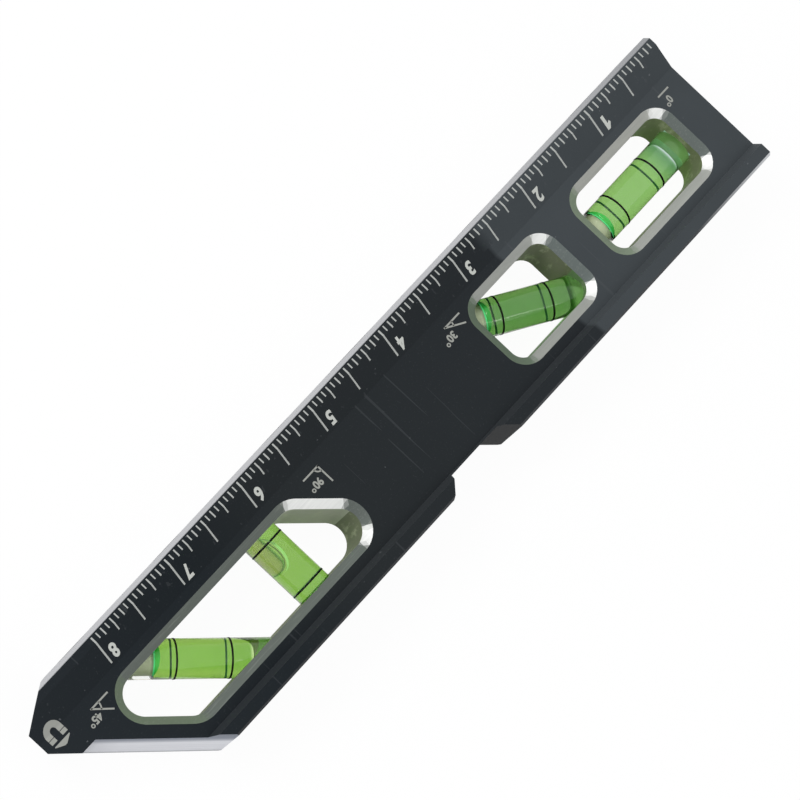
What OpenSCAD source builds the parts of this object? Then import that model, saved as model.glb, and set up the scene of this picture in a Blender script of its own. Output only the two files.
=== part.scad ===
// Magnetic pocket level: one machined bar, four vials, magnets in the base.
// The level lies flat: X runs along the scale, Y from the base to the notch,
// Z out of the printed face. Sizes are in millimetres.

/* [Bar] */
// Length of the bar, at the level of its front ridges
bar_len = 229.9; // [180:0.1:260]
// Height from the base face to the notched edge
bar_high = 41.3; // [36:0.1:50]
// Thickness from the back to the front ridges
bar_thick = 21; // [18:0.1:28]
// Depth of the recessed web below the ridges
web_drop = 3.5; // [2:0.1:5]
// Width of the flat ridge beside the base bevel
base_ridge = 2.05; // [1:0.05:5]
// Run of the slope that carries the scale
base_slope = 6.55; // [4:0.05:9]
// Bevel of the base edge across the height
base_bevel_y = 1.1; // [0.5:0.1:2]
// Bevel of the base edge through the thickness
base_bevel_z = 2.5; // [1.5:0.1:5]
// Width of the flat ridge along the notched edge
top_ridge = 2.8; // [1.5:0.1:4]
// Run of the slope beside the notched edge
top_slope = 1.4; // [0.8:0.1:3]
// Bevel of the notched edge across the height
top_bevel_y = 0.6; // [0.3:0.1:2]
// Bevel of the notched edge through the thickness
top_bevel_z = 1.5; // [0.8:0.1:8]
// Chamfer of the two back edges
back_chamfer = 0.5; // [0.3:0.1:1.5]

/* [Tip] */
// Height on the end face where the 45 degree side of the tip begins
tip_high = 12.3; // [10:0.1:16]
// Height on the end face where the 30 degree facet toward the base begins
facet_high = 6.35; // [4:0.1:9]
// Undercut of the end face, in degrees
end_slant = 15.5; // [5:0.5:20]
// Undercut of the 30 degree facet, in degrees
facet_slant = 10; // [5:0.5:20]
// Undercut of the 45 degree side of the tip, in degrees
side_slant = 10.5; // [5:0.5:20]
// Sum of length and height on the upright 45 degree face
face_sum = 236.9; // [230:0.1:240]
// Height where the upright 45 degree face begins
face_low = 18; // [15:0.1:24]

/* [Notch] */
// Middle of the notch along the bar
notch_x = 106.2; // [90:0.1:130]
// Width of the notch floor
notch_floor = 16.4; // [10:0.1:30]
// Depth of the notch
notch_deep = 4.3; // [2:0.1:7]

/* [Windows] */
// Width of the chamfer around each window
win_cham = 2.15; // [1:0.05:3]
// Depth of the chamfer around each window
win_cham_deep = 1.65; // [1:0.05:3]
// Chamfer of the windows at the back
win_back = 0.6; // [0.3:0.1:1.5]
// Left side of the level window, chamfer included
win_a_x = 8.8; // [7:0.1:12]
// Length of the level window, chamfer included
win_a_len = 36.3; // [30:0.1:40]
// Left side of the 30 degree window, chamfer included
win_b_x = 52.85; // [50:0.1:60]
// Length of the 30 degree window, chamfer included
win_b_len = 30.1; // [26:0.1:34]
// Lower side of these two windows
win_ab_y = 11.85; // [11:0.05:14]
// Height of these two windows
win_ab_high = 22.2; // [18:0.1:24]
// Corner radius of these two windows
win_ab_r = 6; // [4:0.1:8]
// Lower side of the long window
win_c_y = 12; // [11:0.1:14]
// Height of the long window
win_c_high = 22.1; // [18:0.1:24]
// Slanted zero side of the long window, where it meets the base line
win_c_from = 158.4; // [150:0.1:165]
// Slanted tip side of the long window, where it meets the base line
win_c_to = 232.35; // [225:0.1:234]
// Corner radius of the long window
win_c_r = 7.3; // [5:0.1:9]

/* [Vials] */
// Outer diameter of a vial
vial_d = 9.5; // [8:0.1:11]
// Wall thickness of a vial
vial_wall = 1; // [0.6:0.1:1.5]
// Thickness of the closed end of a vial
vial_end = 2; // [1:0.1:3]
// Distance between the two rings of a vial
ring_gap = 13.1; // [10:0.1:16]
// Width of a ring
ring_w = 0.4; // [0.3:0.05:1]
// Thickness of a ring
ring_t = 0.35; // [0.2:0.05:0.5]
// Level vial, distance from the middle of the rings to its plug
liquid_a = 12.4; // [9:0.1:15]
// 30 degree vial, the same distance
liquid_b = 10.6; // [9:0.1:15]
// 90 degree vial, the same distance
liquid_c = 10.6; // [9:0.1:12]
// 45 degree vial, the same distance
liquid_d = 11.8; // [9:0.1:15]
// Diameter of an air bubble
bubble_d = 5.8; // [4:0.1:6.4]
// Straight length of an air bubble
bubble_len = 5.4; // [2:0.1:9]
// Level vial, middle of its bubble from the middle of the rings
bubble_a = 10.8; // [4:0.1:11]
// 30 and 45 degree vials, the same place of their bubbles
bubble_b = 9.2; // [4:0.1:9.2]
// 90 degree vial, the same place of its bubble
bubble_c = 6; // [2:0.1:6]
// Height of the vial axes above the base
vial_y = 23.1; // [20:0.1:25]
// Level vial, middle of the rings from the zero side of its window
vial_a_in = 18.2; // [15:0.1:22]
// Level vial, reach from that point to the closed end
closed_a = 23; // [19:0.1:24]
// Level vial, reach from that point to the open end
open_a = 18.3; // [16:0.1:22]
// 30 degree vial, middle of the rings from the zero side of its window
vial_b_in = 15.45; // [12:0.05:18]
// 30 degree vial, drop of that point below the level vial's axis
vial_b_drop = 0.35; // [0:0.05:2]
// 30 degree vial, reach to the closed end
closed_b = 19.5; // [17:0.1:20]
// 30 degree vial, reach to the open end
open_b = 19; // [17:0.1:24]
// 90 degree vial, from the foot of the zero side of its window toward zero
vial_c_out = 4; // [1:0.1:6]
// 90 degree vial, reach to the closed end
closed_c = 13.8; // [13:0.1:16]
// 90 degree vial, reach to the open end
open_c = 13.2; // [12:0.1:15]
// Land between the bores of the 90 and 45 degree vials on the notched edge
vial_land = 1.19; // [1:0.01:8]
// 45 degree vial, rise of its ring middle above the level vial's axis
vial_d_rise = 0.15; // [0:0.05:2]
// 45 degree vial, reach to the closed end
closed_d = 19.2; // [17:0.1:20]
// 45 degree vial, reach to the open end
open_d = 17.5; // [17:0.1:22]

/* [Magnets] */
// Diameter of a base magnet
mag_d = 9; // [6:0.5:12]
// Thickness of a base magnet
mag_t = 3; // [2:0.1:4]

/* [Fits] */
// Clearance of a vial in its bore
fit_bore = 0.1; // [0.05:0.01:0.3]
// Clearance of the parts inside a vial
fit_in = 0.05; // [0.02:0.01:0.1]
// Depth of plugs and magnets below the surface
sink = 0.2; // [0:0.1:0.5]

/* [Hidden] */
$fn = 96;
cut = 30;
blend = 0.012;
web_z = bar_thick - web_drop;
mid_z = web_z / 2;
slope_y1 = base_bevel_y + base_ridge;
slope_y2 = slope_y1 + base_slope;
rise_y2 = bar_high - top_bevel_y - top_ridge;
rise_y1 = rise_y2 - top_slope;
vial_r = vial_d / 2;
in_r = vial_r - vial_wall;
bore_r = vial_r + fit_bore;
c_in = win_c_r - win_cham;
ab_in = win_ab_r - win_cham;
ab_y1 = win_ab_y + win_ab_r;
ab_y2 = win_ab_y + win_ab_high - win_ab_r;
c_y1 = win_c_y + win_c_r;
c_y2 = win_c_y + win_c_high - win_c_r;
c_sum1 = win_c_from + win_c_r * sqrt(2);
c_sum2 = win_c_to - win_c_r * sqrt(2);
win_a_pts = [[win_a_x + win_ab_r, ab_y1], [win_a_x + win_ab_r, ab_y2],
  [win_a_x + win_a_len - win_ab_r, ab_y2], [win_a_x + win_a_len - win_ab_r, ab_y1]];
win_b_pts = [[win_b_x + win_ab_r, ab_y1], [win_b_x + win_ab_r, ab_y2],
  [win_b_x + win_b_len - win_ab_r, ab_y2], [win_b_x + win_b_len - win_ab_r, ab_y1]];
win_c_pts = [[c_sum1 - c_y1, c_y1], [c_sum1 - c_y2, c_y2],
  [c_sum2 - c_y2, c_y2], [c_sum2 - c_y1, c_y1]];
vial_c_x = win_c_from - vial_c_out;
vial_d_y = vial_y + vial_d_rise;
vial_d_x = vial_c_x + bore_r + vial_land + bore_r * sqrt(2) + bar_high - vial_d_y;
// Each vial: middle of the rings, turn of its axis, reach of the open end,
// reach of the closed end
vial_a = [win_a_x + vial_a_in, vial_y, 180, open_a, closed_a];
vial_b = [win_b_x + vial_b_in, vial_y - vial_b_drop, 150, open_b, closed_b];
vial_c = [vial_c_x, vial_y, 270, open_c, closed_c];
vial_d45 = [vial_d_x, vial_d_y, 135, open_d, closed_d];
// Reach of the bores past the outer faces of the bar
out_reach = 2 * bar_high;
mag_x = [20, 62, 133, 172, 205];
base_mid = (back_chamfer + bar_thick - base_bevel_z) / 2;
base_y = -bar_high / 2;

// Section of the bar, drawn as height and thickness
module bar_section() {
  polygon([
    [back_chamfer, 0],
    [bar_high - back_chamfer, 0],
    [bar_high, back_chamfer],
    [bar_high, bar_thick - top_bevel_z],
    [bar_high - top_bevel_y, bar_thick],
    [rise_y2, bar_thick],
    [rise_y1, web_z],
    [slope_y2, web_z],
    [slope_y1, bar_thick],
    [base_bevel_y, bar_thick],
    [0, bar_thick - base_bevel_z],
    [0, back_chamfer]
  ]);
}

// Moves the drawing position to the middle of the bar
module place() {
  translate([-bar_len / 2, base_y, 0])
    children();
}

// Outward step of a window cutter from its corner centre line
module win_profile(r) {
  polygon([
    [0, -1],
    [r + win_back, -1],
    [r + win_back, 0],
    [r, win_back],
    [r, web_z - win_cham_deep],
    [r + win_cham, web_z],
    [r + win_cham, cut],
    [0, cut]
  ]);
}

// Cutter of one window: a core, four sides and four round corners
module window(pts, r) {
  translate([0, 0, -1])
    linear_extrude(height = cut + 1)
      polygon(pts);
  for (i = [0 : 3]) {
    d = pts[(i + 1) % 4] - pts[i];
    translate([pts[i][0], pts[i][1], 0])
      rotate([0, 0, atan2(d[1], d[0])])
        rotate([90, 0, 90])
          linear_extrude(height = norm(d))
            win_profile(r);
    translate([pts[i][0], pts[i][1], 0])
      rotate_extrude()
        win_profile(r + blend);
  }
}

// Sets a vial part on its axis, from the ring middle toward the closed end
module on_vial(v) {
  translate([v[0], v[1], mid_z])
    rotate([0, 0, v[2]])
      rotate([0, 90, 0])
        children();
}

// Bore of a vial, open to the outside on one end
module vial_bore(v, out_at_plug) {
  lo = out_at_plug ? out_reach : v[3] + fit_in;
  hi = out_at_plug ? v[4] + fit_in : out_reach;
  on_vial(v)
    translate([0, 0, -lo])
      cylinder(r = bore_r, h = lo + hi);
}

// Block whose inner face leans by a slant from an upper line of the tip
module lean_block(x, y, turn, slant) {
  translate([x, y, bar_thick])
    rotate([0, 0, turn])
      rotate([0, slant, 0])
        translate([0, -bar_len, -bar_len])
          cube([bar_len, 2 * bar_len, 2 * bar_len]);
}

// Everything outside the outline at the tip
module tip_cut() {
  lean_block(bar_len, 0, 0, end_slant);
  lean_block(bar_len, facet_high, -60, facet_slant);
  intersection() {
    lean_block(bar_len, tip_high, 45, side_slant);
    translate([0, -10, -10])
      cube([bar_len + 20, face_low + 10, 2 * cut]);
  }
  translate([0, 0, -1])
    linear_extrude(height = cut)
      polygon([
        [face_sum - face_low, face_low],
        [bar_len + 20, face_low],
        [bar_len + 20, bar_high + 5],
        [face_sum - bar_high - 5, bar_high + 5]
      ]);
}

// Notch in the upper edge with 45 degree sides
module notch_cut() {
  half = notch_floor / 2;
  translate([0, 0, -1])
    linear_extrude(height = cut)
      polygon([
        [notch_x - half, bar_high - notch_deep],
        [notch_x + half, bar_high - notch_deep],
        [notch_x + half + notch_deep + 2, bar_high + 2],
        [notch_x - half - notch_deep - 2, bar_high + 2]
      ]);
}

// Pocket of a magnet in the base face
module magnet_pocket(x) {
  translate([x, -1, base_mid])
    rotate([-90, 0, 0])
      cylinder(r = mag_d / 2 + fit_bore, h = mag_t + sink + fit_bore + 1);
}

module frame() {
  color([0.05, 0.055, 0.06])
    place()
      difference() {
        rotate([90, 0, 90])
          linear_extrude(height = bar_len)
            bar_section();
        tip_cut();
        notch_cut();
        window(win_a_pts, ab_in);
        window(win_b_pts, ab_in);
        window(win_c_pts, c_in);
        vial_bore(vial_a, false);
        vial_bore(vial_b, true);
        vial_bore(vial_c, true);
        vial_bore(vial_d45, false);
        for (x = mag_x)
          magnet_pocket(x);
      }
}

// Clear tube of a vial, closed at one end, with two grooves for the rings
module tube(v) {
  color([0.85, 0.93, 0.8])
    place()
      on_vial(v)
        difference() {
          translate([0, 0, -v[3]])
            cylinder(r = vial_r, h = v[3] + v[4]);
          translate([0, 0, -v[3] - 1])
            cylinder(r = in_r, h = v[3] + v[4] - vial_end + 1);
          for (s = [-1, 1])
            translate([0, 0, s * ring_gap / 2])
              difference() {
                cylinder(r = vial_r + 1, h = ring_w + 2 * fit_in, center = true);
                cylinder(r = vial_r - ring_t, h = ring_w + 1, center = true);
              }
        }
}

// Liquid of a vial with the hollow that its air bubble leaves under the wall
module liquid(v, plug_at, bubble_at, turn) {
  color([0.45, 0.75, 0.2])
    place()
      on_vial(v)
        difference() {
          translate([0, 0, -plug_at + fit_in])
            cylinder(r = in_r - fit_in, h = plug_at + v[4] - vial_end - 2 * fit_in);
          rotate([0, 0, turn])
            translate([-(in_r - bubble_d / 2 - 0.1), 0, bubble_at])
              bubble();
        }
}

// Air bubble with round ends along a vial axis
module bubble() {
  cylinder(r = bubble_d / 2, h = bubble_len, center = true);
  translate([0, 0, bubble_len / 2])
    sphere(r = bubble_d / 2);
  translate([0, 0, -bubble_len / 2])
    sphere(r = bubble_d / 2);
}

// Clear plug that closes a vial
module plug(v, plug_at) {
  color([0.85, 0.9, 0.86])
    place()
      on_vial(v)
        translate([0, 0, -v[3]])
          cylinder(r = in_r - fit_in, h = v[3] - plug_at);
}

// Black ring in the groove of a tube
module ring(v, s) {
  color([0.02, 0.02, 0.02])
    place()
      on_vial(v)
        translate([0, 0, s * ring_gap / 2])
          difference() {
            cylinder(r = vial_r + fit_in, h = ring_w, center = true);
            cylinder(r = vial_r - ring_t + fit_in, h = ring_w + 1, center = true);
          }
}

// Stop that fills a vial bore and ends just below the outer face
module stop(v, at_plug) {
  color([0.08, 0.08, 0.09])
    place()
      intersection() {
        on_vial(v)
          translate([0, 0, at_plug ? -out_reach : v[4] + fit_in])
            cylinder(r = bore_r - fit_in, h = out_reach - fit_in - (at_plug ? v[3] : v[4]));
        translate([sink, sink, 0])
          cube([bar_len, bar_high - 2 * sink, bar_thick]);
      }
}

// Disc magnet in the base face
module magnet(x) {
  color([0.7, 0.71, 0.73])
    place()
      translate([x, sink, base_mid])
        rotate([-90, 0, 0])
          cylinder(r = mag_d / 2, h = mag_t);
}

frame();
tube(vial_a);  // level_tube
liquid(vial_a, liquid_a, bubble_a, 0);  // level_liquid
plug(vial_a, liquid_a);  // level_plug
ring(vial_a, -1);  // level_ring_1
ring(vial_a, 1);  // level_ring_2
tube(vial_b);  // thirty_tube
liquid(vial_b, liquid_b, bubble_b, 0);  // thirty_liquid
plug(vial_b, liquid_b);  // thirty_plug
ring(vial_b, -1);  // thirty_ring_1
ring(vial_b, 1);  // thirty_ring_2
tube(vial_c);  // upright_tube
liquid(vial_c, liquid_c, bubble_c, -90);  // upright_liquid
plug(vial_c, liquid_c);  // upright_plug
ring(vial_c, -1);  // upright_ring_1
ring(vial_c, 1);  // upright_ring_2
tube(vial_d45);  // slant_tube
liquid(vial_d45, liquid_d, bubble_b, 0);  // slant_liquid
plug(vial_d45, liquid_d);  // slant_plug
ring(vial_d45, -1);  // slant_ring_1
ring(vial_d45, 1);  // slant_ring_2
stop(vial_a, false);  // level_stop
stop(vial_b, true);  // thirty_stop
stop(vial_c, true);  // upright_stop
stop(vial_d45, false);  // slant_stop
magnet(mag_x[0]);  // magnet_1
magnet(mag_x[1]);  // magnet_2
magnet(mag_x[2]);  // magnet_3
magnet(mag_x[3]);  // magnet_4
magnet(mag_x[4]);  // magnet_5
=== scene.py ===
import bpy
import bmesh
import math
from mathutils import Matrix, Vector


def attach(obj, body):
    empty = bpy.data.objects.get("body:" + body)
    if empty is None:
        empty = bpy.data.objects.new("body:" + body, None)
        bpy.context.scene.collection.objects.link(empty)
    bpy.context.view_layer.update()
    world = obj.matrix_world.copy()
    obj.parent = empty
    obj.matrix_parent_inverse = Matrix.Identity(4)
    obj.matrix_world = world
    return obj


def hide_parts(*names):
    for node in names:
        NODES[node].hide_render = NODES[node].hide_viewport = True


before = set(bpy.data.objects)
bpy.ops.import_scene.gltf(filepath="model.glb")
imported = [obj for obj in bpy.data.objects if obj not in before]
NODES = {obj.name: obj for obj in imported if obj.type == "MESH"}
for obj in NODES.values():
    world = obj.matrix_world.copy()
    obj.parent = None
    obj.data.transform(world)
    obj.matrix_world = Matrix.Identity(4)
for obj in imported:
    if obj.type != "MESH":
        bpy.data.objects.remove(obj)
XC, YC = 114.95, 20.65         # middle of the bar in scale coordinates, mm
WEB = 17.5                     # height of the printed web
TOP = 21.0                     # height of the ridges
AXIS_Z = 8.75                  # height of the vials' axes
mm = 0.001
VIAL_R = 4.74                  # clear tube, drawn a little inside the CAD tube
LIQUID_R = 4.66
LIFT = 0.014                   # how far print lies above the skin
BETWEEN_1_2 = -0.066           # x between the first and the second window, m
BETWEEN_2_3 = 0.005            # x between the second and the third window, m


def P(x, y, z):
    return Vector(((x - XC) / 1000, (y - YC) / 1000, z / 1000))


# ---------------------------------------------------------------- materials
class Tree:
    def __init__(self, name):
        self.mat = bpy.data.materials.new(name)
        self.mat.use_nodes = True
        self.nt = self.mat.node_tree
        self.nt.nodes.clear()
        self.out = self.nt.nodes.new("ShaderNodeOutputMaterial")

    def node(self, kind, **props):
        n = self.nt.nodes.new(kind)
        for k, v in props.items():
            setattr(n, k, v)
        return n

    def put(self, sock, val):
        if isinstance(val, bpy.types.NodeSocket):
            self.nt.links.new(val, sock)
        elif isinstance(val, (tuple, list)) and len(val) == 3 and sock.type == "RGBA":
            sock.default_value = (*val, 1.0)
        else:
            sock.default_value = val

    def math(self, op, a, b=None, c=None):
        n = self.node("ShaderNodeMath", operation=op)
        for i, v in enumerate((a, b, c)):
            if v is not None:
                self.put(n.inputs[i], v)
        return n.outputs[0]

    def mul(self, *v):
        r = v[0]
        for x in v[1:]:
            r = self.math("MULTIPLY", r, x)
        return r

    def gt(self, a, b):
        return self.math("GREATER_THAN", a, b)

    def lt(self, a, b):
        return self.math("LESS_THAN", a, b)

    def between(self, a, lo, hi):
        return self.mul(self.gt(a, lo), self.lt(a, hi))

    def mixc(self, fac, a, b, mode="MIX"):
        n = self.node("ShaderNodeMix", data_type="RGBA", blend_type=mode)
        self.put(n.inputs[0], fac)
        self.put(n.inputs[6], a)
        self.put(n.inputs[7], b)
        return n.outputs[2]

    def mixf(self, fac, a, b):
        n = self.node("ShaderNodeMix", data_type="FLOAT")
        self.put(n.inputs[0], fac)
        self.put(n.inputs[2], a)
        self.put(n.inputs[3], b)
        return n.outputs[0]

    def ramp(self, fac, stops):
        n = self.node("ShaderNodeValToRGB")
        e = n.color_ramp.elements
        while len(e) < len(stops):
            e.new(0.5)
        for el, (p, c) in zip(e, stops):
            el.position = p
            el.color = (*c, 1.0) if len(c) == 3 else c
        self.put(n.inputs[0], fac)
        return n.outputs[0]

    def noise(self, scale, detail=3.0, rough=0.5, stretch=None):
        n = self.node("ShaderNodeTexNoise")
        n.inputs["Scale"].default_value = scale
        n.inputs["Detail"].default_value = detail
        n.inputs["Roughness"].default_value = rough
        vec = self.obj()
        if stretch is not None:
            m = self.node("ShaderNodeMapping")
            m.inputs["Scale"].default_value = stretch[0]
            m.inputs["Rotation"].default_value = stretch[1]
            self.put(m.inputs["Vector"], vec)
            vec = m.outputs[0]
        self.put(n.inputs["Vector"], vec)
        return n.outputs[0]

    def obj(self):
        if not hasattr(self, "_obj"):
            self._obj = self.node("ShaderNodeTexCoord").outputs["Object"]
        return self._obj

    def xyz(self, vec):
        n = self.node("ShaderNodeSeparateXYZ")
        self.put(n.inputs[0], vec)
        return n.outputs[0], n.outputs[1], n.outputs[2]

    def bump(self, height, strength, dist):
        n = self.node("ShaderNodeBump")
        n.inputs["Strength"].default_value = strength
        n.inputs["Distance"].default_value = dist
        self.put(n.inputs["Height"], height)
        return n.outputs[0]

    def principled(self, **kw):
        n = self.node("ShaderNodeBsdfPrincipled")
        for k, v in kw.items():
            self.put(n.inputs[k.replace("_", " ")], v)
        return n

    def done(self, shader):
        self.nt.links.new(shader, self.out.inputs[0])
        return self.mat


def s2l(r, g, b):
    return tuple(((c / 255) / 12.92 if c / 255 <= 0.04045 else ((c / 255 + 0.055) / 1.055) ** 2.4)
                 for c in (r, g, b))


# tones of the face from the zero end to the tip; the lighter zero end is partly its own tone and partly painted
# sheen
ZERO_TONE_AND_SHEEN = (64, 69, 72)
FACE = ((34, 38, 41), (32, 36, 38), (22, 28, 32), (30, 35, 39))


def body_material():
    t = Tree("anodised_bar")
    x, y, z = t.xyz(t.obj())
    geo = t.node("ShaderNodeNewGeometry")
    nx, ny, nz = t.xyz(geo.outputs["True Normal"])
    anz = t.math("ABSOLUTE", nz)

    # regions of the bar, told apart by place and by the way they face
    yin = t.between(y, -0.0095, 0.0146)
    front = t.mul(t.gt(nz, 0.3), t.lt(nz, 0.95), yin)
    back = t.mul(t.lt(nz, -0.5), t.gt(nz, -0.95), yin)
    wall = t.mul(t.lt(anz, 0.05), yin, t.between(x, -0.1125, 0.1045))
    bore = t.mul(t.between(z, 0.0038, 0.0137), t.gt(anz, 0.05), t.lt(x, 0.105), t.gt(y, -0.017))
    slant = t.mul(t.gt(nx, 0.6), t.gt(ny, 0.6), t.lt(anz, 0.05), t.gt(y, -0.003))
    slant = t.mul(slant, t.gt(t.math("ADD", x, y), 0.1010))
    base = t.mul(t.lt(ny, -0.3), t.lt(nx, 0.3), t.lt(y, -0.018))
    edge = t.mul(t.gt(ny, 0.4), t.gt(nz, 0.2), t.gt(y, 0.0195))
    slope_sheen_notched = t.mul(t.between(nz, 0.2, 0.6), t.between(y, 0.0150, 0.0178), t.lt(ny, -0.5))
    slope_sheen_ruler = t.mul(t.between(nz, 0.8, 0.95), t.lt(ny, -0.3), t.between(y, -0.0178, -0.0106))
    notch_wall_shade = t.mul(t.gt(nx, 0.5), t.lt(anz, 0.05), t.gt(y, 0.0150), t.lt(x, 0.02))

    # black face, charcoal toward the zero end (partly painted sheen), with faint clouds, grain, scratches and
    # specks
    along = t.math("MULTIPLY_ADD", x, 4.36, 0.5)
    far = t.ramp(along, [(p, s2l(*c)) for p, c in zip((0.3, 0.64, 0.76, 1.0), FACE)])
    # the lighter zero end stops at a crisp slanting line
    cut = t.math("MULTIPLY_ADD", y, 0.107, x)
    soft = t.mixf(t.lt(y, -0.0135), 900.0, 260.0)
    soft = t.mixf(t.gt(nz, 0.3), 12.0, soft)      # side and back faces change gently
    cut = t.math("MULTIPLY_ADD", t.math("ADD", cut, 0.04985), soft, 0.5)
    cut.node.use_clamp = True
    face = t.mixc(cut, s2l(*ZERO_TONE_AND_SHEEN), far)
    # painted sheen: the printed slope on the ruler side is made a little lighter
    face = t.mixc(t.math("MULTIPLY", slope_sheen_ruler, 0.05), face, s2l(150, 152, 156))
    cloud = t.noise(60, 4.0, 0.6)
    grain = t.noise(2600, 2.0, 0.7)
    face = t.mixc(t.math("MULTIPLY", cloud, 0.22), face, s2l(24, 28, 32))
    face = t.mixc(t.math("MULTIPLY", t.gt(grain, 0.66), 0.10), face, s2l(95, 97, 100))
    scr = t.noise(900, 2.0, 0.5, stretch=((1, 0.02, 1), (0, 0, 0.5)))
    face = t.mixc(t.math("MULTIPLY", t.gt(scr, 0.69), 0.2), face, s2l(82, 85, 88))
    dust = t.noise(700, 1.0, 0.4)
    face = t.mixc(t.math("MULTIPLY", t.gt(dust, 0.80), 0.4), face, s2l(112, 115, 118))
    # painted sheen: the slope by the notched edge is made a little lighter
    face = t.mixc(t.math("MULTIPLY", slope_sheen_notched, 0.1), face, s2l(120, 124, 128))
    # painted shade: the walls of the cut in the notched edge are made darker than the face
    face = t.mixc(t.math("MULTIPLY", notch_wall_shade, 0.7), face, s2l(14, 16, 18))

    # bare machined metal
    brush = t.noise(1500, 3.0, 0.6, stretch=((0.03, 1, 1), (0, 0, 0)))
    raw = t.ramp(along, [(0.0, s2l(150, 151, 153)), (0.3, s2l(188, 188, 190)), (1.0, s2l(190, 190, 192))])
    raw = t.mixc(t.math("MULTIPLY", brush, 0.3), raw, s2l(160, 162, 166))
    raw = t.mixc(t.math("MULTIPLY", t.gt(z, 0.0207), 0.5), raw, s2l(90, 92, 96))
    # the 45 degree face: bright below, grey toward its upper edge
    low, bright, upper = s2l(120, 122, 126), s2l(218, 219, 224), s2l(92, 100, 114)
    raw_s = t.ramp(t.math("DIVIDE", z, 0.021),
                   [(0.0, low), (0.08, bright), (0.56, bright), (0.74, s2l(120, 126, 140)), (0.95, upper)])
    lines = t.noise(1400, 4.0, 0.7, stretch=((0.02, 0.02, 1), (0, 0, 0)))
    raw_s = t.mixc(t.math("MULTIPLY", t.ramp(lines, [(0.4, (0, 0, 0)), (0.62, (1, 1, 1))]), 0.25),
                   raw_s, s2l(158, 160, 168))
    corner = t.ramp(t.math("MULTIPLY_ADD", y, 50.0, 0.18),
                    [(0.0, (0.5, 0.5, 0.5)), (0.12, (0.15, 0.15, 0.15)), (0.3, (0, 0, 0))])
    raw_s = t.mixc(corner, raw_s, s2l(116, 118, 126))

    # window chamfers: their shade follows the way they face, window by window
    turn = t.math("MULTIPLY_ADD", t.math("ARCTAN2", ny, nx), 1 / (2 * math.pi), 0.5)

    def ring(tip, high, low, dark, glint, h1, h2, l1, l2):
        """Shade round a window: two glints at the zero end's corners, dark between them.

        h1..h2 and l1..l2 are the angles, in degrees, between which a chamfer glints.
        """
        stops = [(-180, tip), (-118, tip), (-94, high), (h1 - 9, high), (h1, glint), (h2, glint),
                 (h2 + 13, dark), (l1 - 15, dark), (l1, glint), (l2, glint), (l2 + 12, low), (92, low),
                 (112, tip), (180, tip)]
        return t.ramp(turn, [((deg + 180) / 360, s2l(*c)) for deg, c in stops])
    glint = (247, 247, 245)
    c1 = ring((138, 152, 130), (172, 174, 168), (182, 182, 176), (94, 101, 98), glint, -62, -31, 30, 57)
    c2 = ring((106, 122, 102), (164, 166, 160), (174, 175, 170), (96, 104, 102), glint, -68, -31, 30, 60)
    c3 = ring((112, 126, 104), (100, 107, 101), (104, 110, 104), (92, 98, 94), glint, -74, -43, 43, 64)
    cham = t.mixc(t.gt(x, BETWEEN_1_2), c1, c2)
    cham = t.mixc(t.gt(x, BETWEEN_2_3), cham, c3)
    chn = t.noise(1700, 3.0, 0.65, stretch=((0.05, 1, 0.05), (0, 0, 0)))
    cham = t.mixc(t.math("MULTIPLY", chn, 0.34), cham, s2l(108, 113, 110))
    fine = t.noise(2600, 3.0, 0.7, stretch=((0.04, 1, 1), (0, 0, 0)))
    fine = t.ramp(fine, [(0.55, (0, 0, 0)), (0.68, (1, 1, 1))])
    cham = t.mixc(t.math("MULTIPLY", fine, 0.07), cham, s2l(232, 234, 230))

    # inner walls: painted light tinted by the vials beside them, with painted glints; lighter where a vial stands
    # before them
    up = t.gt(y, 0.0046)
    w1 = t.mixc(up, s2l(126, 138, 100), s2l(122, 132, 98))
    w2 = t.mixc(up, s2l(116, 121, 98), s2l(108, 143, 98))
    w3 = t.mixc(up, s2l(190, 194, 178), s2l(116, 122, 98))
    wt = t.mixc(t.gt(x, BETWEEN_1_2), w1, w2)
    wt = t.mixc(t.gt(x, BETWEEN_2_3), wt, w3)
    wt = t.mixc(t.math("MULTIPLY", t.noise(160, 3.0, 0.6), 0.4), wt, s2l(92, 108, 62))
    # painted glints on the walls
    wall_glints = t.noise(420, 4.0, 0.65, stretch=((1, 1, 0.35), (0, 0, 0)))
    wall_glints = t.ramp(wall_glints, [(0.52, (0, 0, 0)), (0.66, (1, 1, 1))])
    wt = t.mixc(t.math("MULTIPLY", wall_glints, 0.4), wt, s2l(196, 204, 172))
    # painted light where a vial stands before the wall
    vial_light_a = t.mul(t.lt(z, 0.0122), t.between(y, -0.0018, 0.0067), t.lt(x, BETWEEN_1_2))
    vial_light_b = t.mul(t.lt(z, 0.0122), t.between(y, 0.0056, 0.0126), t.between(x, BETWEEN_1_2, -0.05))
    wt = t.mixc(vial_light_a, wt, s2l(196, 238, 222))
    wt = t.mixc(vial_light_b, wt, s2l(170, 204, 160))
    # painted light: the bore walls are pale mint, as light through the liquid shows them
    bore_light = t.mixc(t.noise(220, 2.0, 0.5), s2l(202, 222, 206), s2l(176, 200, 182))

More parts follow.
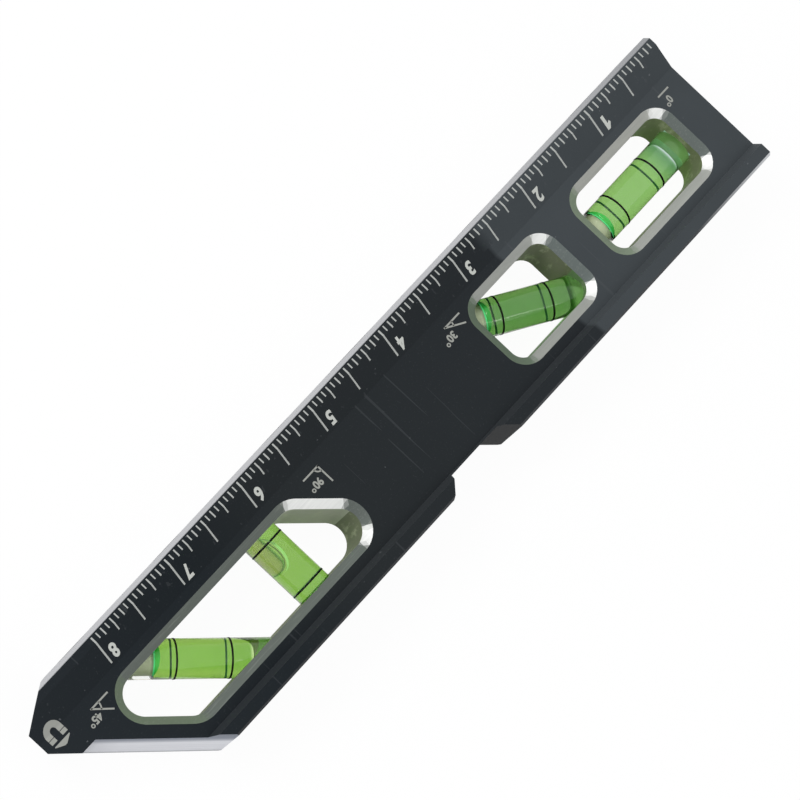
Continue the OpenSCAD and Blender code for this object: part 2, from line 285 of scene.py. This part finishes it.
    # bevel along the notched edge: worn bare metal with a painted highlight at the zero end, dark toward the tip
    edge_wear_and_glint = t.ramp(along, [(0.0, s2l(205, 206, 208)), (0.12, s2l(58, 60, 63)), (1.0, s2l(32, 35, 38))])
    col = t.mixc(base, face, raw)
    col = t.mixc(edge, col, edge_wear_and_glint)
    col = t.mixc(t.math("MAXIMUM", front, back), col, cham)
    col = t.mixc(wall, col, wt)
    col = t.mixc(bore, col, bore_light)
    col = t.mixc(slant, col, raw_s)
    metal = t.math("MAXIMUM", t.math("MAXIMUM", base, slant), front)
    rough = t.mixf(metal, 0.6, 0.45)
    bmp = t.bump(t.math("ADD", t.math("MULTIPLY", grain, 0.6), brush), 0.25, 0.00004)
    p = t.principled(Base_Color=col, Metallic=t.mixf(metal, 0.0, 0.35), Roughness=rough, Normal=bmp)
    p.inputs["Specular IOR Level"].default_value = 0.09
    return t.done(p.outputs[0])


def plain(name, rgb, rough=0.5, metallic=0.0, spec=0.5, grain=0.08, gscale=900):
    t = Tree(name)
    n = t.noise(gscale, 3.0, 0.6)
    dark = tuple(c * (1 - grain * 3) for c in rgb)
    c = t.mixc(t.math("MULTIPLY", n, 0.5), rgb, dark)
    p = t.principled(Base_Color=c, Roughness=rough, Metallic=metallic, Normal=t.bump(n, 0.15, 0.00003))
    t.put(p.inputs["Specular IOR Level"], spec)
    return t.done(p.outputs[0])


def shadow_free(t, shader):
    """Glass that lets lamp light through, as the clear vials do."""
    lp = t.node("ShaderNodeLightPath")
    tr = t.node("ShaderNodeBsdfTransparent")
    tr.inputs[0].default_value = (0.86, 0.97, 0.74, 1)
    m = t.node("ShaderNodeMixShader")
    t.put(m.inputs[0], t.math("MAXIMUM", lp.outputs["Is Shadow Ray"], lp.outputs["Is Diffuse Ray"]))
    t.put(m.inputs[1], shader)
    t.put(m.inputs[2], tr.outputs[0])
    return m.outputs[0]


def glass_material(name):
    """Clear tube: hardly bends the view, glossy, with a painted olive shade at its rims."""
    t = Tree(name)
    n = t.noise(300, 2.0, 0.5)
    lw = t.node("ShaderNodeLayerWeight")
    lw.inputs["Blend"].default_value = 0.5
    rim_shade = t.ramp(lw.outputs["Facing"], [(0.0, (0.985, 0.99, 0.98)), (0.62, (0.97, 0.98, 0.95)),
                                        (0.8, (0.80, 0.72, 0.62)), (0.96, (0.42, 0.38, 0.26))])
    rim_shade = t.mixc(t.math("MULTIPLY", n, 0.03), rim_shade, (0.8, 0.8, 0.8))
    p = t.principled(Base_Color=rim_shade)
    p.inputs["Roughness"].default_value = 0.0
    p.inputs["IOR"].default_value = 1.04
    p.inputs["Transmission Weight"].default_value = 1.0
    p.inputs["Coat Weight"].default_value = 0.6
    p.inputs["Coat IOR"].default_value = 1.45
    p.inputs["Coat Roughness"].default_value = 0.09
    return t.done(shadow_free(t, p.outputs[0]))


def liquid_material(name, vx, vy, turn, core, side_light, along, bore_glow_tone):
    """Clear coloured liquid, with painted shade and painted light across and along the vial."""
    t = Tree(name)
    x, y, z = t.xyz(t.obj())
    ca, sa = math.cos(math.radians(turn)), math.sin(math.radians(turn))
    dx = t.math("SUBTRACT", x, (vx - XC) / 1000)
    dy = t.math("SUBTRACT", y, (vy - YC) / 1000)
    u = t.math("ADD", t.math("MULTIPLY", dx, -sa), t.math("MULTIPLY", dy, ca))
    v = t.math("ADD", t.math("MULTIPLY", dx, ca), t.math("MULTIPLY", dy, sa))

    # follow the slanting look through the liquid, so that front and back agree
    v = t.math("ADD", v, t.mul(t.math("SUBTRACT", 0.0134, z), 0.27 * ca))

    def half(c):
        """Tint that gives the shade c after the tube and the floor have had their part."""
        return tuple(min(1.0, max(0.002, (k - 0.04) / 0.86)) for k in s2l(*c))

    def toward(c, k):
        return tuple(p + (q - p) * k for p, q in zip(core, c))

    # one colour, with painted shade at the rims and painted light just inside them
    rim_shade, pale_light = toward((90, 100, 60), 0.15), (214, 206, 150)
    shades = [(-4.7, rim_shade), (-4.1, toward(pale_light, side_light[0])), (-2.8, core), (1.8, core),
              (4.1, toward(pale_light, side_light[1])), (4.7, rim_shade)]
    wide = 9.6                     # mm across the vial
    cu = t.ramp(t.math("MULTIPLY_ADD", u, 1000 / wide, 0.5),
                [(k / wide + 0.5, half(c)) for k, c in shades])
    span = 42.0                    # mm along the vial that the ramps below cover
    vm = t.math("MULTIPLY_ADD", v, 1000 / span, 0.5)
    # painted shade: the liquid's tone changes along the vial
    cv = t.ramp(vm, [(k / span + 0.5, c) for k, c in along])
    col = t.mixc(1.0, cu, cv, "MULTIPLY")
    # painted light: lighter where the closed end stands inside its bore
    start, full, tone_near, tone_far = bore_glow_tone
    fac = t.ramp(vm, [(start / span + 0.5, (0, 0, 0)), (full / span + 0.5, (1, 1, 1))])
    tone = t.ramp(vm, [(full / span + 0.5, tone_near), ((full + 5) / span + 0.5, tone_far)])
    col = t.mixc(fac, col, tone)
    if name.startswith("upright"):
        # paler where the bubble lies
        eu = t.math("DIVIDE", t.math("SUBTRACT", u, 0.0027), 0.0026)
        ev = t.math("DIVIDE", t.math("SUBTRACT", v, 0.0042), 0.0047)
        inside = t.lt(t.math("ADD", t.math("MULTIPLY", eu, eu), t.math("MULTIPLY", ev, ev)), 1.0)
        col = t.mixc(inside, col, t.mixc(1.0, col, (1.25, 0.97, 1.9), "MULTIPLY"))
    col = t.mixc(t.math("MULTIPLY", t.noise(180, 2.0, 0.5), 0.05), col, (1, 1, 1))
    p = t.principled(Base_Color=col)
    p.inputs["Roughness"].default_value = 0.0
    p.inputs["IOR"].default_value = 1.3
    p.inputs["Transmission Weight"].default_value = 1.0
    return t.done(shadow_free(t, p.outputs[0]))


# ---------------------------------------------------------------- helpers
def new_object(name, bm, mat, smooth=False):
    me = bpy.data.meshes.new(name)
    bm.to_mesh(me)
    bm.free()
    if smooth:
        for p in me.polygons:
            p.use_smooth = True
    me.materials.append(mat)
    ob = bpy.data.objects.new(name, me)
    bpy.context.scene.collection.objects.link(ob)
    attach(ob, "root")
    return ob


def revolve(bm, profile, mat4, seg=64):
    """Turns (radius, height) points about local Z; ends on the axis are closed."""
    rings = []
    for r, h in profile:
        if r < 1e-9:
            rings.append([bm.verts.new(mat4 @ Vector((0, 0, h)))])
        else:
            rings.append([bm.verts.new(mat4 @ Vector((r * math.cos(2 * math.pi * k / seg),
                                                     r * math.sin(2 * math.pi * k / seg), h)))
                          for k in range(seg)])
    for a, b in zip(rings, rings[1:]):
        for k in range(seg):
            k2 = (k + 1) % seg
            if len(a) == 1:
                bm.faces.new((a[0], b[k2], b[k]))
            elif len(b) == 1:
                bm.faces.new((a[k], a[k2], b[0]))
            else:
                bm.faces.new((a[k], a[k2], b[k2], b[k]))


def dress(ob, mat):
    ob.data.materials.clear()
    ob.data.materials.append(mat)


# ---------------------------------------------------------------- frame
dress(NODES["frame"], body_material())

MAG = plain("nickel_disc", s2l(190, 190, 192), 0.25, 1.0, 0.5, 0.05)
STOP = plain("stop_plastic", s2l(40, 41, 44), 0.6)
for n, o in NODES.items():
    if n.startswith("magnet_"):
        dress(o, MAG)
    if n.endswith("_stop"):
        dress(o, STOP)


# ---------------------------------------------------------------- vials
def ring_material():
    """Black ring; the half behind the liquid is painted lighter, as dark teal, for the light through the liquid."""
    t = Tree("ring_black")
    z = t.xyz(t.obj())[2]
    n = t.noise(900, 2.0, 0.5)
    c = t.mixc(t.lt(z, AXIS_Z / 1000), s2l(9, 11, 9), s2l(58, 118, 108))
    c = t.mixc(t.math("MULTIPLY", n, 0.1), c, s2l(40, 44, 40))
    p = t.principled(Base_Color=c)
    p.inputs["Roughness"].default_value = 0.6
    p.inputs["Specular IOR Level"].default_value = 0.1
    return t.done(p.outputs[0])


RING = ring_material()
MENISCUS_GLINT = plain("meniscus_glint_mint", s2l(92, 222, 150), 0.5, 0.0, 0.2, 0.04)
PLUG = plain("plug_clear", s2l(208, 208, 190), 0.5, 0.0, 0.3, 0.12, 500)
ONE = (1, 1, 1)
VIALS = {
    # ring middle x, y, turn toward the closed end, open end, closed end, liquid end,
    # liquid colour, painted light at its two sides, painted shade along it, painted light inside the bore
    "level": (27.0, 23.1, 180, 18.3, 23.0, 12.4, (138, 184, 107), (0.04, 0.12),
              [(5, ONE), (11, (0.4, 0.6, 0.85)), (20, ONE)],
              (11.0, 11.9, (0.72, 0.84, 0.85), ONE)),
    "thirty": (68.3, 22.75, 150, 19.0, 19.5, 10.6, (92, 140, 74), (0.1, 0.26),
               [(7, ONE), (11.5, (1, 0.88, 1.2)), (20, ONE)],
               (11.4, 12.6, (0.85, 0.97, 0.85), ONE)),
    "upright": (154.4, 23.1, 270, 13.2, 13.8, 10.6, (134, 178, 85), (0.06, 0.06),
                [(-10, (0.9, 0.95, 0.9)), (0, ONE), (20, ONE)],
                (8.6, 11.0, (0.7, 0.95, 0.5), (0.9, 1.0, 0.7))),
    "slant": (185.35, 23.25, 135, 17.5, 19.2, 11.8, (130, 179, 80), (0.36, 0.36),
              [(0, ONE), (8, (0.93, 0.95, 0.96)), (20, (0.8, 0.85, 0.9))],
              (10.6, 11.6, (0.75, 0.95, 0.45), (0.9, 1.0, 0.7))),
}
TUBE = glass_material("clear_acrylic")
for name, (vx, vy, turn, back_end, front_end, liq, core, side_light, along, bore_glow_tone) in VIALS.items():
    mat4 = (Matrix.Translation(P(vx, vy, AXIS_Z)) @ Matrix.Rotation(math.radians(turn), 4, "Z")
            @ Matrix.Rotation(math.radians(90), 4, "Y"))
    bm = bmesh.new()
    prof = [(0, -back_end), (VIAL_R - 0.3, -back_end), (VIAL_R, -back_end + 0.3)]
    prof += [(VIAL_R, -back_end + 0.5), (VIAL_R, front_end - 1.9), (VIAL_R, front_end - 1.6)]
    for k in range(1, 8):
        a = math.pi / 2 * k / 7
        prof.append((VIAL_R - 1.6 + 1.6 * math.cos(a), front_end - 1.6 + 1.6 * math.sin(a)))
    prof.append((0, front_end))
    revolve(bm, [(r * mm, h * mm) for r, h in prof], mat4, 72)
    bmesh.ops.recalc_face_normals(bm, faces=bm.faces)
    tube = new_object(name + "_tube_clear", bm, TUBE, True)
    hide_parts(name + "_tube")
    # liquid: a coloured body inside the clear tube
    bm = bmesh.new()
    ri = LIQUID_R
    rin = [(0, -liq), (ri - 0.4, -liq), (ri, -liq + 0.4), (ri, -liq + 0.6), (ri, front_end - 3.5),
           (ri, front_end - 3.2)]
    for k in range(1, 8):
        a = math.pi / 2 * k / 7
        rin.append((ri - 2.4 + 2.4 * math.cos(a), front_end - 3.2 + 2.4 * math.sin(a)))
    rin.append((0, front_end - 0.8))
    revolve(bm, [(r * mm, h * mm) for r, h in rin], mat4, 64)
    bmesh.ops.recalc_face_normals(bm, faces=bm.faces)
    liquid = new_object(name + "_liquid_fill", bm,
                        liquid_material(name + "_tint", vx, vy, turn, core, side_light, along, bore_glow_tone), True)
    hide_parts(name + "_liquid")
    # painted highlight: a bright mint arc where the liquid meets the plug
    if name != "upright":
        bm = bmesh.new()
        prev = None
        for k in range(-12, 13):
            a = math.radians(6.0 * k)
            w = 1.5 * math.cos(a) ** 1.3 + 0.05
            q1 = mat4 @ Vector((-4.4 * mm * math.cos(a), 4.4 * mm * math.sin(a), (-liq - 0.2) * mm))
            q2 = mat4 @ Vector((-4.4 * mm * math.cos(a), 4.4 * mm * math.sin(a), (-liq - 0.2 + w) * mm))
            cur = (bm.verts.new(q1), bm.verts.new(q2))
            if prev:
                bm.faces.new((prev[0], cur[0], cur[1], prev[1]))
            prev = cur
        crescent_glint = new_object(name + "_crescent", bm, MENISCUS_GLINT, True)
    for k in (1, 2):
        dress(NODES[f"{name}_ring_{k}"], RING)
    dress(NODES[f"{name}_plug"], PLUG)


# air bubble of the 90 degree vial, held against its side wall
def bubble_material():
    t = Tree("bubble_edge_shading")
    lw = t.node("ShaderNodeLayerWeight")
    lw.inputs["Blend"].default_value = 0.5
    # painted shade and painted highlight: dark and mint bands round the bubble's edge, by facing
    c = t.ramp(lw.outputs["Facing"], [(0.0, s2l(250, 228, 240)), (0.35, s2l(242, 224, 232)),
                                      (0.5, s2l(206, 206, 200)), (0.6, s2l(90, 130, 105)),
                                      (0.74, s2l(225, 255, 238)), (0.9, s2l(90, 130, 100))])
    c = t.mixc(t.math("MULTIPLY", t.noise(400, 2.0), 0.1), c, (1, 1, 1))
    p = t.principled(Base_Color=c)
    p.inputs["Roughness"].default_value = 0.0
    p.inputs["IOR"].default_value = 1.0
    p.inputs["Transmission Weight"].default_value = 1.0
    return t.done(shadow_free(t, p.outputs[0]))


bm = bmesh.new()
vx, vy = VIALS["upright"][0], VIALS["upright"][1]
BR = 2.1                       # radius of the bubble
BL = 9.4                       # where its straight part ends
prof = [(0, 0.0)]
for k in range(1, 9):
    a = math.pi / 2 * k / 8
    prof.append((BR * math.sin(a), BR * (1 - math.cos(a))))
prof.append((BR, BL))
for k in range(1, 9):
    a = math.pi / 2 * k / 8
    prof.append((BR * math.cos(a), BL + BR * math.sin(a)))
bub4 = (Matrix.Translation(P(vx + 2.4, vy + 0.5, AXIS_Z + 0.2)) @ Matrix.Rotation(math.radians(270), 4, "Z")
        @ Matrix.Rotation(math.radians(90), 4, "Y") @ Matrix.Diagonal((1.5, 1.0, 1.0, 1.0)))
revolve(bm, [(r * mm, h * mm) for r, h in prof], bub4, 40)
bmesh.ops.recalc_face_normals(bm, faces=bm.faces)
bub = new_object("upright_bubble", bm, bubble_material(), True)


# painted highlight and painted shade: light and dark rims of the bubble
def rim_line(name, pts, width, mat):
    bm = bmesh.new()
    out = []
    for i, (u, v) in enumerate(pts):
        a, b = pts[max(i - 1, 0)], pts[min(i + 1, len(pts) - 1)]
        d = Vector((b[0] - a[0], b[1] - a[1])).normalized()
        w = width * math.sin(math.pi * (i + 0.7) / (len(pts) + 0.4))
        pair = []
        for k in (-0.5, 0.5):
            uu, vv = u - d.y * w * k, v + d.x * w * k
            h = min(3.1, math.sqrt(max(4.5 ** 2 - uu * uu, 0.1)) - 0.12)
            pair.append(bm.verts.new(P(vx + uu, vy - vv, AXIS_Z + h)))
        out.append(pair)
    for p, q in zip(out, out[1:]):
        bm.faces.new((p[0], q[0], q[1], p[1]))
    bmesh.ops.recalc_face_normals(bm, faces=bm.faces)
    ob = new_object(name, bm, mat)


def smooth_path(pts, n=6):
    """Catmull-Rom curve through the points."""
    res = []
    for i in range(len(pts) - 1):
        p0, p1 = pts[max(i - 1, 0)], pts[i]
        p2, p3 = pts[i + 1], pts[min(i + 2, len(pts) - 1)]
        for k in range(n):
            s = k / n
            res.append(tuple(0.5 * (2 * p1[j] + (p2[j] - p0[j]) * s
                                    + (2 * p0[j] - 5 * p1[j] + 4 * p2[j] - p3[j]) * s * s
                                    + (3 * p1[j] - p0[j] - 3 * p2[j] + p3[j]) * s ** 3) for j in (0, 1)))
    return res + [pts[-1]]


GLEAM = plain("bubble_gleam", s2l(226, 255, 244), 0.4, 0.0, 0.2, 0.04)
SHADE = plain("bubble_shade", s2l(96, 112, 84), 0.6, 0.0, 0.1, 0.04)
rim_line("bubble_rim_light",
         smooth_path([(1.6, 8.9), (0.3, 7.2), (-0.3, 4.9), (-0.2, 2.6), (0.3, 0.9), (1.3, -0.4), (2.6, -0.9)]),
         0.6, GLEAM)
rim_line("bubble_rim_dark",
         smooth_path([(2.1, 8.2), (0.9, 6.8), (0.4, 4.8), (0.45, 2.7), (0.9, 1.1), (1.8, 0.1), (3.2, -0.25)]),
         0.22, SHADE)

# ---------------------------------------------------------------- scale, numerals, signs
INK = plain("etched_mark", s2l(196, 198, 192), 0.6, 0.0, 0.2, 0.05)
INK_T = plain("etched_scale", s2l(172, 174, 170), 0.6, 0.0, 0.2, 0.05)
INK_G = plain("etched_sign", s2l(151, 152, 146), 0.6, 0.0, 0.2, 0.05)
Y0, YK, YB = 1.5, 3.15, 9.7    # y where ticks start, where the slope starts and where it ends
INCH = 25.4


def skin_z(y):
    """Height of the printed skin at y: ridge, slope, web."""
    if y <= YK:
        return TOP
    if y <= YB:
        return TOP - (y - YK) * (TOP - WEB) / (YB - YK)
    return WEB


def strip(bm, pts, w, lift=0.012):
    """A flat line of width w through (x, y) points, laid on the skin of the bar."""
    n = len(pts)
    left, right = [], []
    for i, (x, y) in enumerate(pts):
        a = pts[max(i - 1, 0)]
        b = pts[min(i + 1, n - 1)]
        d = Vector((b[0] - a[0], b[1] - a[1])).normalized()
        nx_, ny_ = -d.y * w / 2, d.x * w / 2
        left.append((x + nx_, y + ny_))
        right.append((x - nx_, y - ny_))
    top_l = [bm.verts.new(P(x, y, skin_z(y) + lift)) for x, y in left]
    top_r = [bm.verts.new(P(x, y, skin_z(y) + lift)) for x, y in right]
    for i in range(n - 1):
        bm.faces.new((top_r[i], top_r[i + 1], top_l[i + 1], top_l[i]))


bm = bmesh.new()
for i in range(1, 129):
    x = i * INCH / 16
    if i % 16 == 0:
        y1, w = 8.9, 0.46
    elif i % 8 == 0:
        y1, w = 7.7, 0.42
    elif i % 4 == 0:
        y1, w = 4.9, 0.38
    elif i % 2 == 0:
        y1, w = 3.5, 0.38
    else:
        y1, w = 3.05, 0.34
    pts = [(x, Y0), (x, min(YK, y1))]
    if y1 > YK:
        pts.append((x, y1))
    strip(bm, pts, w)
bmesh.ops.recalc_face_normals(bm, faces=bm.faces)
ticks = new_object("scale_ticks", bm, INK_T)


def text_mesh(name, body_text, size, x, y, turn, mat, xs=1.0, bold=0.0):
    cu = bpy.data.curves.new(name + "_c", "FONT")
    cu.body = body_text
    cu.size = size / 1000
    cu.align_x = "CENTER"
    cu.align_y = "CENTER"
    cu.offset = bold / 1000
    cu.resolution_u = 4
    tmp = bpy.data.objects.new(name + "_t", cu)
    bpy.context.scene.collection.objects.link(tmp)
    bpy.context.view_layer.update()
    dg = bpy.context.evaluated_depsgraph_get()
    me = bpy.data.meshes.new_from_object(tmp.evaluated_get(dg))
    bpy.data.objects.remove(tmp)
    rot = Matrix.Rotation(math.radians(turn), 4, "Z")
    xs_ = [v.co.x for v in me.vertices]
    ys_ = [v.co.y for v in me.vertices]
    cx, cy = (min(xs_) + max(xs_)) / 2, (min(ys_) + max(ys_)) / 2
    for v in me.vertices:
        q = rot @ Vector(((v.co.x - cx) * xs, v.co.y - cy, 0))
        wx, wy = x + q.x * 1000, y + q.y * 1000
        v.co = P(wx, wy, skin_z(wy) + LIFT)
    me.materials.clear()
    me.materials.append(mat)
    ob = bpy.data.objects.new(name, me)
    bpy.context.scene.collection.objects.link(ob)
    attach(ob, "root")
    return ob


for i, x in enumerate((48.2, 73.6, 98.9, 124.4, 149.9, 175.4, 200.8)):
    text_mesh(f"numeral_{i + 2}", str(i + 2), 4.55, x, 7.22, 0, INK, 0.84, 0.17)


def flat(name, polys, mat):
    """Flat shapes from (x, y) outlines, laid on the skin of the bar."""
    bm = bmesh.new()
    for pts in polys:
        bm.faces.new([bm.verts.new(P(px, py, skin_z(py) + LIFT)) for px, py in pts])
    bmesh.ops.triangulate(bm, faces=bm.faces)
    ob = new_object(name, bm, mat)
    return ob


flat("numeral_1", [[(22.5, 8.98), (22.5, 5.4), (23.35, 5.4), (23.35, 8.98)],
                   [(22.5, 8.98), (21.6, 7.8), (21.9, 7.25), (22.5, 7.7)]], INK)


def arc(cx, cy, r, a0, a1, n=12):
    return [(cx + r * math.cos(math.radians(a0 + (a1 - a0) * k / n)),
             cy + r * math.sin(math.radians(a0 + (a1 - a0) * k / n))) for k in range(n + 1)]


bm = bmesh.new()
LW = 0.42
strip(bm, [(4.4, 12.3), (8.2, 12.3)], LW)
strip(bm, [(83.2, 12.5), (88.7, 12.5)], LW)
strip(bm, [(88.5, 12.5), (83.7, 15.2)], LW)
strip(bm, arc(88.6, 12.5, 2.4, 180, 151), 0.36)
strip(bm, [(134.7, 12.65), (140.0, 12.65)], LW)
strip(bm, [(134.9, 12.5), (134.9, 17.6)], LW)
strip(bm, arc(134.9, 12.65, 1.3, 0, 90), 0.36)
strip(bm, [(208.8, 12.65), (214.6, 12.65)], LW)
strip(bm, [(214.4, 12.6), (210.5, 16.4)], LW)
strip(bm, arc(214.5, 12.65, 2.5, 180, 136), 0.36)
signs = new_object("angle_signs", bm, INK_G)
for nm, word, x, y, xs in (("zero", "0", 6.4, 14.5, 0.85), ("thirty", "30", 88.85, 15.1, 0.92),
                           ("ninety", "90", 137.8, 15.45, 0.92), ("fortyfive", "45", 214.85, 15.05, 0.95)):
    text_mesh("degree_" + nm, word, 2.75, x, y, 0, INK_G, xs, 0.10)
rings = []
for cx, cy in ((7.55, 15.4), (90.85, 15.9), (139.8, 16.0), (216.9, 15.6)):
    for k in range(16):
        d0, d1 = k * 22.5, k * 22.5 + 22.5
        rings.append([arc(cx, cy, rr, dd, dd, 1)[0] for rr, dd in ((0.54, d0), (0.54, d1), (0.25, d1), (0.25, d0))])
flat("degree_rings", rings, INK_G)
# plain magnet symbol: a horseshoe with its pole tips set off, and an arrow head beyond them
shoe = []
o_arc, i_arc = arc(224.22, 9.95, 2.62, 180, 360, 24), arc(224.18, 9.8, 0.9, 180, 360, 24)
for k in range(24):
    shoe.append([o_arc[k], o_arc[k + 1], i_arc[k + 1], i_arc[k]])
shoe.append([(221.6, 9.95), i_arc[0], (223.28, 10.7), (221.6, 10.7)])
shoe.append([i_arc[-1], (226.84, 9.95), (226.84, 10.7), (225.08, 10.7)])
shoe.append([(221.6, 10.86), (223.28, 10.86), (223.28, 11.9), (221.6, 11.9)])
shoe.append([(225.08, 10.86), (226.84, 10.86), (226.84, 11.9), (225.08, 11.9)])
shoe.append([(221.85, 12.55), (226.75, 12.55), (226.75, 12.78),
             (224.62, 13.9), (223.95, 13.9), (221.85, 12.78)])
flat("magnet_symbol", shoe, INK_G)

# ---------------------------------------------------------------- stage
floor_mat = Tree("floor_white")
lp = floor_mat.node("ShaderNodeLightPath")
df = floor_mat.node("ShaderNodeBsdfDiffuse")
floor_mat.put(df.inputs[0], floor_mat.mixc(floor_mat.noise(40, 2.0), (0.9, 0.9, 0.9), (0.88, 0.88, 0.88)))
em = floor_mat.node("ShaderNodeEmission")
em.inputs[0].default_value = (1, 1, 1, 1)
em.inputs[1].default_value = 1.0
see = floor_mat.math("MAXIMUM", lp.outputs["Is Camera Ray"],
                     floor_mat.math("MAXIMUM", lp.outputs["Is Glossy Ray"], lp.outputs["Is Transmission Ray"]))
mx = floor_mat.node("ShaderNodeMixShader")
floor_mat.put(mx.inputs[0], floor_mat.math("MULTIPLY", see, 0.96))
floor_mat.put(mx.inputs[1], df.outputs[0])
floor_mat.put(mx.inputs[2], em.outputs[0])
floor_mat.done(mx.outputs[0])
bm = bmesh.new()
vs = [bm.verts.new((x, y, -0.00002)) for x, y in ((-3, -3), (3, -3), (3, 3), (-3, 3))]
bm.faces.new(vs)
me = bpy.data.meshes.new("floor")
bm.to_mesh(me)
bm.free()
me.materials.append(floor_mat.mat)
floor = bpy.data.objects.new("floor", me)
bpy.context.scene.collection.objects.link(floor)

world = bpy.data.worlds.new("studio")
bpy.context.scene.world = world
world.use_nodes = True
nt = world.node_tree
nt.nodes.clear()


def background(colour, strength):
    n = nt.nodes.new("ShaderNodeBackground")
    n.inputs[0].default_value = (*colour, 1)
    n.inputs[1].default_value = strength
    return n.outputs[0]


def larger(p, q):
    n = nt.nodes.new("ShaderNodeMath")
    n.operation = "MAXIMUM"
    nt.links.new(p, n.inputs[0])
    nt.links.new(q, n.inputs[1])
    return n.outputs[0]


# white to the camera and through glass, a plain dimmer light to everything else
wl = nt.nodes.new("ShaderNodeLightPath")
mxw = nt.nodes.new("ShaderNodeMixShader")
seen = larger(larger(wl.outputs["Is Camera Ray"], wl.outputs["Is Transmission Ray"]), wl.outputs["Is Glossy Ray"])
nt.links.new(seen, mxw.inputs[0])
nt.links.new(background((0.97, 0.985, 1), 0.72), mxw.inputs[1])
nt.links.new(background((1, 1, 1), 1.0), mxw.inputs[2])
wo = nt.nodes.new("ShaderNodeOutputWorld")
nt.links.new(mxw.outputs[0], wo.inputs[0])


def area(name, loc, target, size, power):
    ld = bpy.data.lights.new(name, "AREA")
    ld.shape = "RECTANGLE"
    ld.size, ld.size_y = size
    ld.energy = power
    ob = bpy.data.objects.new(name, ld)
    ob.location = loc
    d = Vector(target) - Vector(loc)
    ob.rotation_euler = d.to_track_quat("-Z", "Y").to_euler()
    bpy.context.scene.collection.objects.link(ob)


area("key", (0.42, -0.75, 1.15), (0, 0, 0), (0.6, 0.6), 9)
area("fill", (0.09, 0.72, 1.03), (0, 0, 0), (0.3, 0.4), 1.6)

# ---------------------------------------------------------------- camera
C = Vector((0.44000, -0.028486, 1.252363))
T = Vector((-0.004554, -0.004456, 0.021))
fwd = (T - C).normalized()
ROLL = -0.03424810086687041
FOCAL_PX = 5636.716215872246    # focal length in pixels of the photo
PHOTO_PX = 800.0
SENSOR = 36.0
r0 = Vector((-0.68, 0.733, 0.0))
r0 = (r0 - fwd * r0.dot(fwd)).normalized()
d0 = fwd.cross(r0)
cr, sr = math.cos(ROLL), math.sin(ROLL)
Rv = cr * r0 + sr * d0
Dv = -sr * r0 + cr * d0
cam_data = bpy.data.cameras.new("camera")
cam_data.sensor_width = SENSOR
cam_data.lens = FOCAL_PX * SENSOR / PHOTO_PX
cam_data.clip_end = 20.0
cam = bpy.data.objects.new("camera", cam_data)
cam.matrix_world = Matrix(((Rv.x, -Dv.x, -fwd.x, C.x), (Rv.y, -Dv.y, -fwd.y, C.y),
                           (Rv.z, -Dv.z, -fwd.z, C.z), (0, 0, 0, 1)))
bpy.context.scene.collection.objects.link(cam)
bpy.context.scene.camera = cam
bpy.context.scene.view_settings.view_transform = "Standard"
